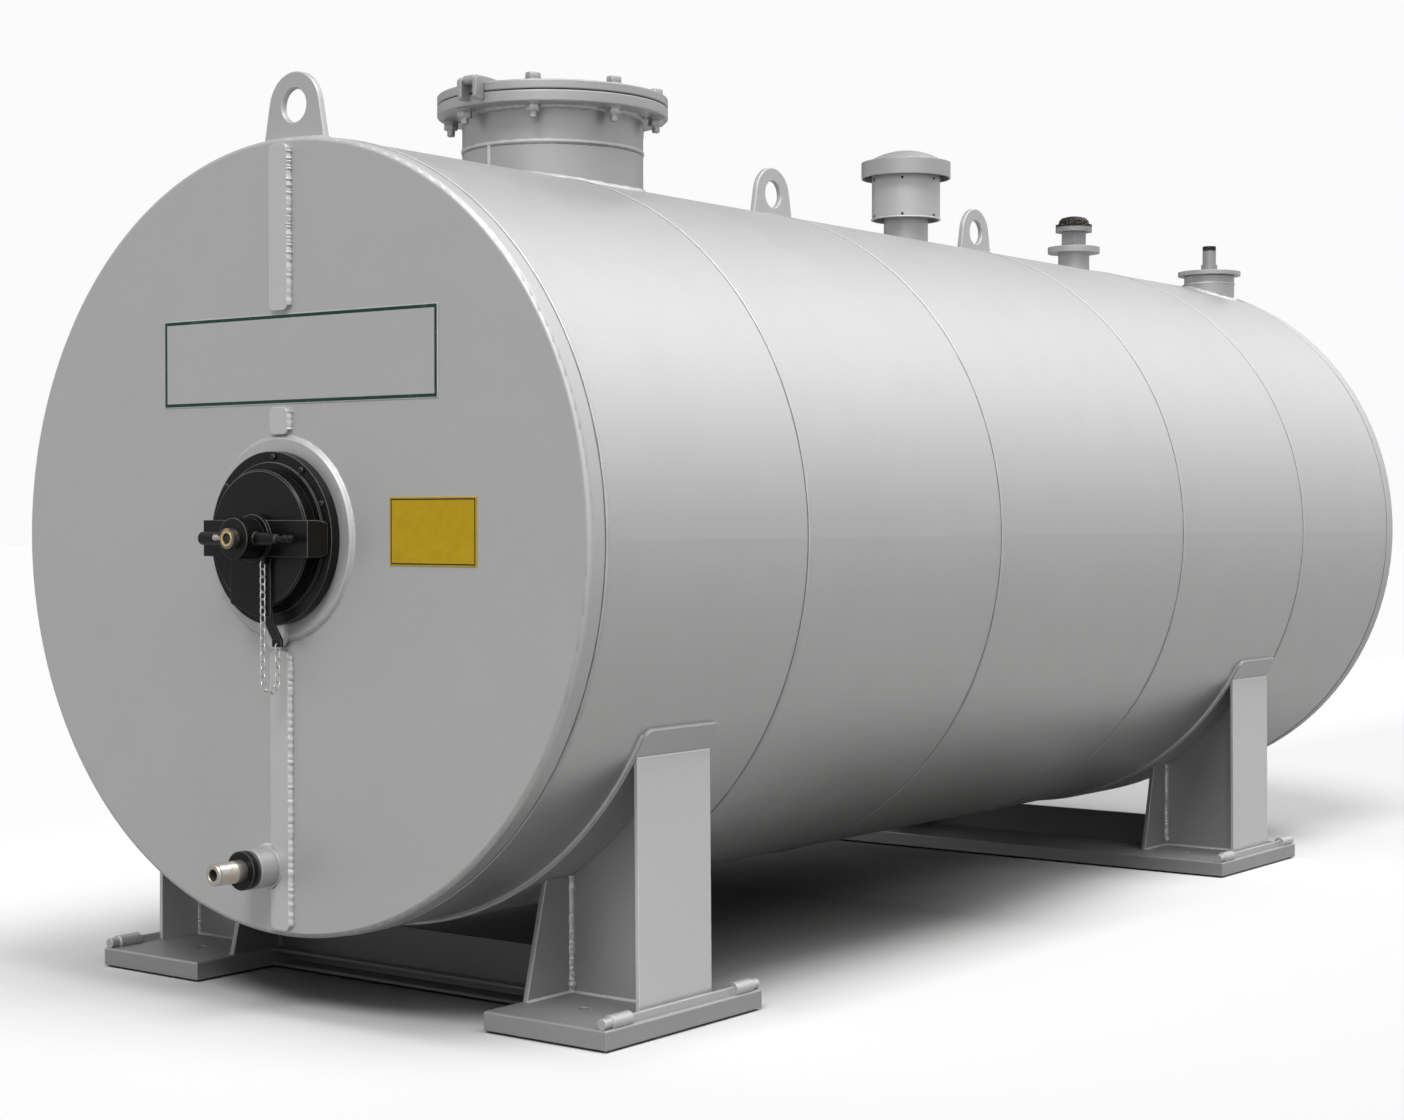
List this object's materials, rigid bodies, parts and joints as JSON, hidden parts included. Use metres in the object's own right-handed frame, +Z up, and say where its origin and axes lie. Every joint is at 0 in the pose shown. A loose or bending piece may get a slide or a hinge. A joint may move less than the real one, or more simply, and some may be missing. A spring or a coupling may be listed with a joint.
{
  "type": "diesel tank",
  "caption": "Horizontal cylindrical diesel storage tank on welded saddles, with a clamped front hatch, a bolted manhole, vents, a drain and lifting lugs.",
  "frame": {"origin": "on the floor, under the middle of the whole length, in the tank's middle plane", "axes": "+Y along the tank from the hatch end to the plain end, +X to the side of the gauge, +Z up"},
  "size_m": [2.207, 5.617, 2.774],
  "materials": {
    "silver_paint": "satin",
    "black_paint": "satin",
    "bare_steel": "satin",
    "gasket": "matte"
  },
  "bodies": {
    "tank": {"front_head": "silver_paint", "rear_head": "silver_paint", "shell_course_1": "silver_paint", "shell_course_2": "silver_paint", "shell_course_3": "silver_paint", "shell_course_4": "silver_paint", "shell_course_5": "silver_paint", "girth_seams": "silver_paint", "front_strap": "silver_paint", "rear_strap": "silver_paint", "lifting_lugs": "silver_paint", "manhole_neck": "silver_paint", "manhole_flange": "silver_paint", "manhole_cover": "silver_paint", "cover_hinge": "silver_paint", "vent_neck": "silver_paint", "vent_drum": "silver_paint", "vent_cap": "silver_paint", "breather_neck": "silver_paint", "gauge_neck": "silver_paint", "drain_collar": "silver_paint", "hatch_pad": "silver_paint", "hatch_tab": "silver_paint", "front_wear_plate": "silver_paint", "front_end_plates": "silver_paint", "front_webs": "silver_paint", "front_gussets": "silver_paint", "front_base_plates": "silver_paint", "cross_channel": "silver_paint", "rear_wear_plate": "silver_paint", "rear_end_plates": "silver_paint", "rear_webs": "silver_paint", "rear_gussets": "silver_paint", "rear_base_plate": "silver_paint", "tie_rods": "silver_paint", "drain_ring": "black_paint", "hatch_flange": "black_paint", "hatch_cap": "black_paint", "hatch_yoke": "black_paint", "hatch_arm": "black_paint", "drain_nipple": "bare_steel", "keeper_chain": "bare_steel", "gauge_stub": "bare_steel", "breather_valve": "bare_steel", "manhole_gasket": "gasket"},
    "clamp_screw": {"hatch_screw": "black_paint", "hatch_nut": "bare_steel"}
  },
  "joints": [
    {"name": "clamp_screw_turn", "type": "hinge", "parent": "tank", "child": "clamp_screw", "pos_m": [0, -2.7035, 1.318], "axis": [0, -1, 0], "range_deg": [0, 630]}
  ]
}
